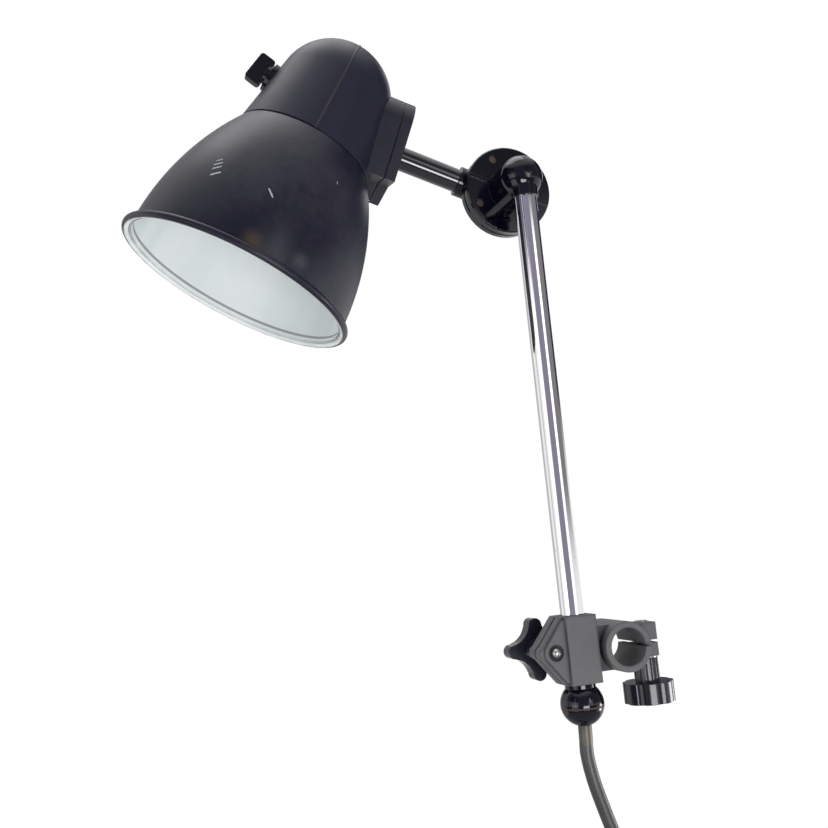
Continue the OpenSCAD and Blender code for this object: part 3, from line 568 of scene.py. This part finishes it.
moulding("bracket_moulding", 0.013, (1.0, 1.0, 2.1), rough=(0.26, 0.40), edge=0.4,
         edge_grey=0.07, dust_amount=0.4, bump=0.06, shine=0.45)
moulding("glossy_black", 0.002, (1.0, 1.0, 4.0), rough=(0.05, 0.12), edge=0.3,
         edge_grey=0.06, dust_amount=0.25, bump=0.02)
moulding("knob_black", 0.013, (1.0, 1.0, 1.7), rough=(0.10, 0.2), edge=0.35,
         edge_grey=0.08, dust_amount=0.35, bump=0.03)
moulding("arm_gloss", 0.003, (1.0, 1.0, 4.0), rough=(0.06, 0.11), edge=0.2,
         edge_grey=0.06, dust_amount=0.2, bump=0.02, coat=1.0)
print("finishes so far:", sorted(finishes))

# %% [markdown]
# ## The hood's seam
# The hood came out of a mould in two halves, and a fine seam runs over its top. The ridge is in
# the solid. Its crest carries a painted highlight, a narrow paler band of colour about the plane
# of the seam.

# %% hood
net, shader, colour = moulding("hood_moulding", 0.013, (1.0, 1.0, 2.3), rough=(0.33, 0.48),
                               edge=0.4, edge_grey=0.06, dust_amount=0.5, bump=0.08, shine=0.36)
from_axis = net.dot(net.vec("SUBTRACT", net.where(), tuple(RIM)), tuple(SHADE_SIDE))
# painted highlight: a paler band along the crest of the seam's ridge
seam_highlight = net.ramp(net.math("ABSOLUTE", from_axis), 0.0004, 0.0009, 0.32, 0.0)
join(net, shader, Base_Color=net.mix(seam_highlight, colour, grey(0.075)))
print("hood:", len(net.tree.nodes), "nodes")

# %% [markdown]
# ## The rod's chrome
# The rod is chromed and well kept, with fine marks from wiping it lengthwise and a few dull
# spots. Chrome has hardly a colour of its own, so the work is in the roughness: noise that is
# squeezed hard across the rod and left long along it gives the wiping marks.

# %% chrome
WIPED = (900.0, 900.0, 12.0)
net, shader = finish("rod_chrome", Metallic=1.0)
where = net.where()
wiped = net.noise(net.vec("MULTIPLY", where, WIPED), 1.0, 3.0, 0.6)
spots = net.ramp(net.noise(where, 260.0, 4.0, 0.7), 0.62, 0.72)
wipe_marks = net.math("MULTIPLY_ADD", wiped, 0.03, 0.035)
join(net, shader,
     Base_Color=net.mix(net.times(spots, 0.35), grey(0.83, (1, 0.99, 1.01)), grey(0.42)),
     Roughness=net.math("ADD", wipe_marks, net.times(spots, 0.12)))
print("chrome:", len(net.tree.nodes), "nodes")

# %% [markdown]
# ## The clamp's casting
# The clamp is a grey casting with the grain of the sand mould and corners that shine a little.
# Its corners and bores are darkened with painted shade. The grain is bump, because it is far
# finer than the solid. The painted shade follows the Ambient Occlusion node, which is low where
# little open space is in reach.

# %% casting
net, shader = finish("grey_casting", Specular_IOR_Level=0.4)
where = net.where()
polish = place_effect(net, patchy, Scale=60.0, Low=0.48, High=0.66)
rubbed = place_effect(net, worn_edges, Width=0.0009, Amount=0.6, Patch=120.0)["Mask"]
dust = place_effect(net, dusty, Scale=900.0, Amount=0.7)["Mask"]
cast = net.mix(polish["Patch"], grey(0.098, (1.0, 1.01, 1.06)), grey(0.150, (1.0, 1.01, 1.05)))
cast = net.mix(net.times(dust, 0.4), cast, grey(0.25))
# painted shade: the casting turns near black where little open space is in reach, in corners and
# bores
painted_shade_ao = net.add("ShaderNodeAmbientOcclusion", 1, {"samples": 8}, Distance=0.018)
cast = net.mix(net.ramp(painted_shade_ao, 0.25, 0.9), grey(0.03), cast)
join(net, shader, Base_Color=net.mix(rubbed, cast, grey(0.2)), Roughness=polish["Roughness"],
     Metallic=net.times(rubbed, 0.7))
lumps = net.times(net.noise(where, 260.0, 2.0), 0.6)
sand = net.math("ADD", net.noise(where, 900.0, 3.0, 0.6), lumps)
grain(net, shader, sand, 0.35, 0.0004, 0.0022)
print("casting:", len(net.tree.nodes), "nodes")

# %% [markdown]
# ## Small metal parts
# Studs, washers and nuts are plain steel, the disc's screws are browned, and the contacts are
# dull brass. They differ only in colour and polish, so one recipe makes all three: bare metal
# with patches of tarnish.

# %% bare metals


def bare_metal(name, colour, tarnished, low, high):
    """Bare metal between two colours, with roughness from low to high."""
    net, shader = finish(name, Metallic=1.0)
    where = net.where()
    polish = place_effect(net, patchy, Scale=120.0, Low=low, High=high)
    tarnish = net.ramp(net.noise(where, 300.0, 4.0, 0.6), 0.5, 0.75)
    join(net, shader, Base_Color=net.mix(net.times(tarnish, 0.6), colour, tarnished),
         Roughness=polish["Roughness"])
    grain(net, shader, net.noise(where, 1500.0, 2.0), 0.08, 0.0002)


bare_metal("plain_steel", grey(0.55), grey(0.25, (1, 0.93, 0.85)), 0.22, 0.4)
bare_metal("tan_screw", (0.13, 0.098, 0.08, 1), (0.05, 0.035, 0.03, 1), 0.4, 0.55)
bare_metal("dull_brass", (0.55, 0.36, 0.15, 1), (0.22, 0.13, 0.06, 1), 0.28, 0.5)
print("finishes so far:", len(finishes))

# %% [markdown]
# ## Rubber
# The cord's rubber is nearly black, a bit brown, with a pale bloom where it has been handled and
# an olive patch just under the ball. The bloom is noise, the patch is a distance from one point.
# The rubber is fairly smooth, so that the cord keeps its long highlight.

# %% rubber
RUBBER, BLOOM = (0.040, 0.037, 0.039, 1), (0.09, 0.08, 0.068, 1)
OLIVE, OLIVE_AT = (0.16, 0.13, 0.06, 1), Vector((-24.5, -5.5, -49)) * MM
net, shader = finish("cord_rubber", Specular_IOR_Level=0.7)
where = net.where()
polish = place_effect(net, patchy, Scale=70.0, Low=0.38, High=0.44)
bloom = net.ramp(net.noise(where, 130.0, 4.0, 0.6), 0.52, 0.75)
rubber = net.mix(net.times(bloom, 0.5), RUBBER, BLOOM)
near_ball = net.ramp(net.distance(where, tuple(OLIVE_AT)), 0.003, 0.008, 0.5, 0.0)
join(net, shader, Base_Color=net.mix(near_ball, rubber, OLIVE), Roughness=polish["Roughness"])
grain(net, shader, net.noise(net.vec("MULTIPLY", where, (1, 1, 0.25)), 700.0, 3.0), 0.015, 0.0003)
mains_cord.data.materials.append(finishes["cord_rubber"])
print("the cord wears", mains_cord.data.materials[0].name)

# %% [markdown]
# ## Fibre and the cream holder
# The gasket and the friction washer are brown pressed fibre, and the lampholder is a cream
# moulding. Little of them shows, so two mixed tones and a patchy polish are enough.

# %% fibre and cream


def two_tones(name, shine, scale, rough, first, second):
    """A plain finish between two tones: its Net and shader."""
    net, shader = finish(name, Specular_IOR_Level=shine)
    polish = place_effect(net, patchy, Scale=scale, Low=rough[0], High=rough[1])
    join(net, shader, Base_Color=net.mix(polish["Patch"], first, second),
         Roughness=polish["Roughness"])
    return net, shader


net, shader = two_tones("brown_fibre", 0.3, 150.0, (0.55, 0.75),
                        (0.055, 0.032, 0.02, 1), (0.11, 0.068, 0.042, 1))
grain(net, shader, net.noise(net.where(), 1200.0, 3.0), 0.2, 0.0002)
two_tones("cream_moulding", 0.5, 40.0, (0.25, 0.4), (0.62, 0.55, 0.42, 1), (0.72, 0.66, 0.54, 1))
print("finishes:", len(finishes))

# %% [markdown]
# ## Dressing the solids
# Each solid keeps its shape and gets one finish. A table of finishes and their members is easier
# to check than a line for each solid, and it shows at once which solids look alike.

# %% dress the solids
DRESS = {
    "shade_enamel": ["shade"],
    "hood_moulding": ["dome"],
    "bracket_moulding": ["bracket_outer", "bracket_inner"],
    "arm_gloss": ["arm_tube"],
    "glossy_black": ["disc_front", "disc_rear", "switch_paddle", "switch_collar", "ball_upper",
                     "ball_lower"],
    "knob_black": ["star_knob", "thumb_knob", "shade_ring", "holder_skirt"],
    "rod_chrome": ["rod_tube"],
    "grey_casting": ["clamp_body"],
    "plain_steel": ["cheek_washer", "lug_washer", "star_stud", "thumb_stud", "pivot_stud",
                    "pivot_washer", "pivot_nut", "nipple", "nipple_nut", "saddle_screws",
                    "holder_screw", "switch_spindle"],
    "tan_screw": ["disc_screws"],
    "dull_brass": ["thread_shell", "centre_contact", "plug_pins"],
    "brown_fibre": ["ball_gasket", "friction_washer"],
    "cream_moulding": ["holder_base"],
    "cord_rubber": ["cord_bush", "rod_lead", "arm_lead", "cord_tie", "plug_body"],
}
for name, members in DRESS.items():
    for member in members:
        slots = nodes[member].data.materials
        slots.clear()
        slots.append(finishes[name])
dressed = {member for members in DRESS.values() for member in members}
print("dressed:", len(dressed), "left:", sorted(set(nodes) - dressed - {"cord", "cord_coil"}))

# %% [markdown]
# ## The floor
# The lamp stands out against plain white. A floor that is only lit never comes out evenly white,
# so to the camera this one mostly glows, with a trace of the lamp's shadow left in it. To
# reflections it is grey, because the ball and the knobs mirror a darker room below them. It lies
# so low that the cord clears it when the rod slides down in the clamp.

# %% floor
ROD_SLIDE, FLOOR_GAP = 0.12, 0.004
FLOOR_R = 0.6
floor_mesh = bpy.data.meshes.new("floor")
sheet = bmesh.new()
bmesh.ops.create_circle(sheet, cap_ends=True, segments=96, radius=FLOOR_R)
sheet.to_mesh(floor_mesh)
sheet.free()
floor = bpy.data.objects.new("floor", floor_mesh)
floor.location = (0, 0, cad_box[0][2] - ROD_SLIDE - FLOOR_GAP)
scene.collection.objects.link(floor)
print("floor at", round(floor.location.z, 4))

# %% [markdown]
# ## The floor's glow
# The Light Path node tells what kind of ray meets the floor. Rays that are seen, straight or in
# a mirror, get the glow. All other rays get a plain pale surface, so that the light that bounces
# up from the floor stays soft.

# %% floor's finish
GLOW_SHARE = 0.9
net, shader = finish("pale_floor", Roughness=0.8, Base_Color=grey(0.9), Specular_IOR_Level=0.1)
rays = net.tree.nodes.new("ShaderNodeLightPath").outputs
seen = net.most([rays["Is Glossy Ray"], rays["Is Transmission Ray"], rays["Is Camera Ray"]])
glow = net.add("ShaderNodeEmission", 0, None, Strength=1.0,
               Color=net.mix(rays["Is Glossy Ray"], grey(1.0), grey(0.25)))
lift = net.add("ShaderNodeEmission", 0, None, Color=grey(0.1), Strength=1.0)
pale = shader.outputs[0]
glowing = net.add("ShaderNodeMixShader", 0, None, i0=GLOW_SHARE, i1=pale, i2=glow)
lifted = net.add("ShaderNodeAddShader", 0, None, i0=glowing, i1=lift)
surface = net.add("ShaderNodeMixShader", 0, None, i0=seen, i1=pale, i2=lifted)
net.feed(net.tree.nodes["Material Output"].inputs["Surface"], surface)
floor_mesh.materials.append(finishes["pale_floor"])
print("floor:", len(net.tree.nodes), "nodes")

# %% [markdown]
# ## The room
# Bright metal shows the room more than itself. A picture of a real room round the lamp would do,
# but none is at hand. The bands on the rod tell what stood there: white nearly everywhere, a
# dark purplish patch about the camera with a lit strip on each side of it, greyer walls further
# right, and darker ones behind and high up. Each patch is a range of directions round the
# upright, counted from the camera, that begins at a certain height. The last one is the dim
# ground in front. The camera itself sees plain white.

# %% room
WHITE_ROOM, SEEN_SKY = grey(0.98), grey(1.02)
ALL = (-1.0, -0.9)
TOP_FADE = (0.6, 0.85)
PATCHES = [  # from and to in degrees, softness, heights between which it comes in, colour
    (-62, -29, 3, ALL, grey(1.4)),
    (25, 50, 3, ALL, grey(1.5)),
    (-62, -29, 4, (0.19, 0.29), grey(0.12, (1.0, 1.0, 1.3))),
    (22, 54, 4, (0.26, 0.32), grey(0.2)),
    (-29, 25, 4, ALL, grey(0.27, (1.0, 0.92, 1.22))),
    (50, 110, 5, (-0.07, 0.05), grey(0.24, (1.0, 0.94, 0.99))),
    (108, 172, 5, (0.02, 0.14), grey(0.03, (1.0, 1.0, 2.2))),
    (-97, -60, 4, (0.18, 0.32), grey(0.08, (1.0, 1.05, 2.2))),
    (-88, -80, 3, ALL, grey(0.5)),
    (-176, -122, 8, ALL, grey(0.55)),
    (-100, 72, 8, (-0.105, -0.14), grey(0.16))]
world = bpy.data.worlds.new("white_room")
scene.world = world
world.use_nodes = True
net = Net(world.node_tree)
toward = net.add("ShaderNodeTexCoord", 0)
level_right = Vector((look_right.x, look_right.y, 0)).normalized()
level_back = Vector((look_back.x, look_back.y, 0)).normalized()
round_to = net.math("ARCTAN2", net.dot(toward, tuple(level_right)),
                    net.dot(toward, tuple(level_back)))
upward = net.dot(toward, (0, 0, 1))
room = WHITE_ROOM
for start, stop, soft, heights, colour in PATCHES:
    rise = net.ramp(round_to, math.radians(start - soft), math.radians(start + soft))
    fall = net.ramp(round_to, math.radians(stop - soft), math.radians(stop + soft), 1.0, 0.0)
    there = net.times(net.times(rise, fall), net.ramp(upward, *heights))
    room = net.mix(net.times(there, net.ramp(upward, *TOP_FADE, 1.0, 0.0)), room, colour)
rays = net.tree.nodes.new("ShaderNodeLightPath").outputs
sky = net.mix(rays["Is Camera Ray"], room, SEEN_SKY)
net.feed(net.tree.nodes["Background"].inputs["Color"], sky)
print("patches in the room:", len(PATCHES))

# %% [markdown]
# ## The lamps
# The white room alone would light everything evenly. Soft boxes above, at the sides and below
# the lamp give the highlights on the knobs, the ball, the arm and the shade. They are area lamps,
# because a small bright point would leave hard dots on the gloss, and they stand where the rod
# doesn't mirror them.

# %% lamps
LAMPS = [  # name, place, aim, width and height, watts
    ("left_strip", (-1.24, -0.67, 0.3), (-0.05, 0, 0.1), (0.06, 1.2), 0.3),
    ("right_box", (0.38, -1.07, 0.35), (-0.05, 0, 0.0), (0.12, 0.4), 0.6),
    ("back_box", (0.6, 0.85, 0.85), (-0.1, 0.03, 0.35), (0.35, 0.5), 0.8),
    ("low_strip", (-0.1, -1.0, -0.27), (-0.08, 0, 0.3), (0.55, 0.32), 5.0),
    ("fill_box", (-0.75, -0.35, -0.2), (-0.2, 0.04, 0.25), (0.5, 0.5), 1.0),
    ("side_box", (0.68, -0.05, -0.24), (-0.12, 0, 0.3), (0.22, 0.28), 1.9),
    ("top_box", (-0.15, 0.25, 1.3), (-0.15, 0, 0.25), (0.9, 0.7), 3.5)]
for name, place, aim, size, watts in LAMPS:
    light = bpy.data.lights.new(name, "AREA")
    light.shape = "RECTANGLE"
    light.size, light.size_y = size
    light.energy = watts
    box = bpy.data.objects.new(name, light)
    box.location = place
    box.rotation_euler = (Vector(aim) - Vector(place)).to_track_quat("-Z", "Y").to_euler()
    scene.collection.objects.link(box)

# %% [markdown]
# ## The end
# The dressed lamp has to stay in the box that the solids fill.
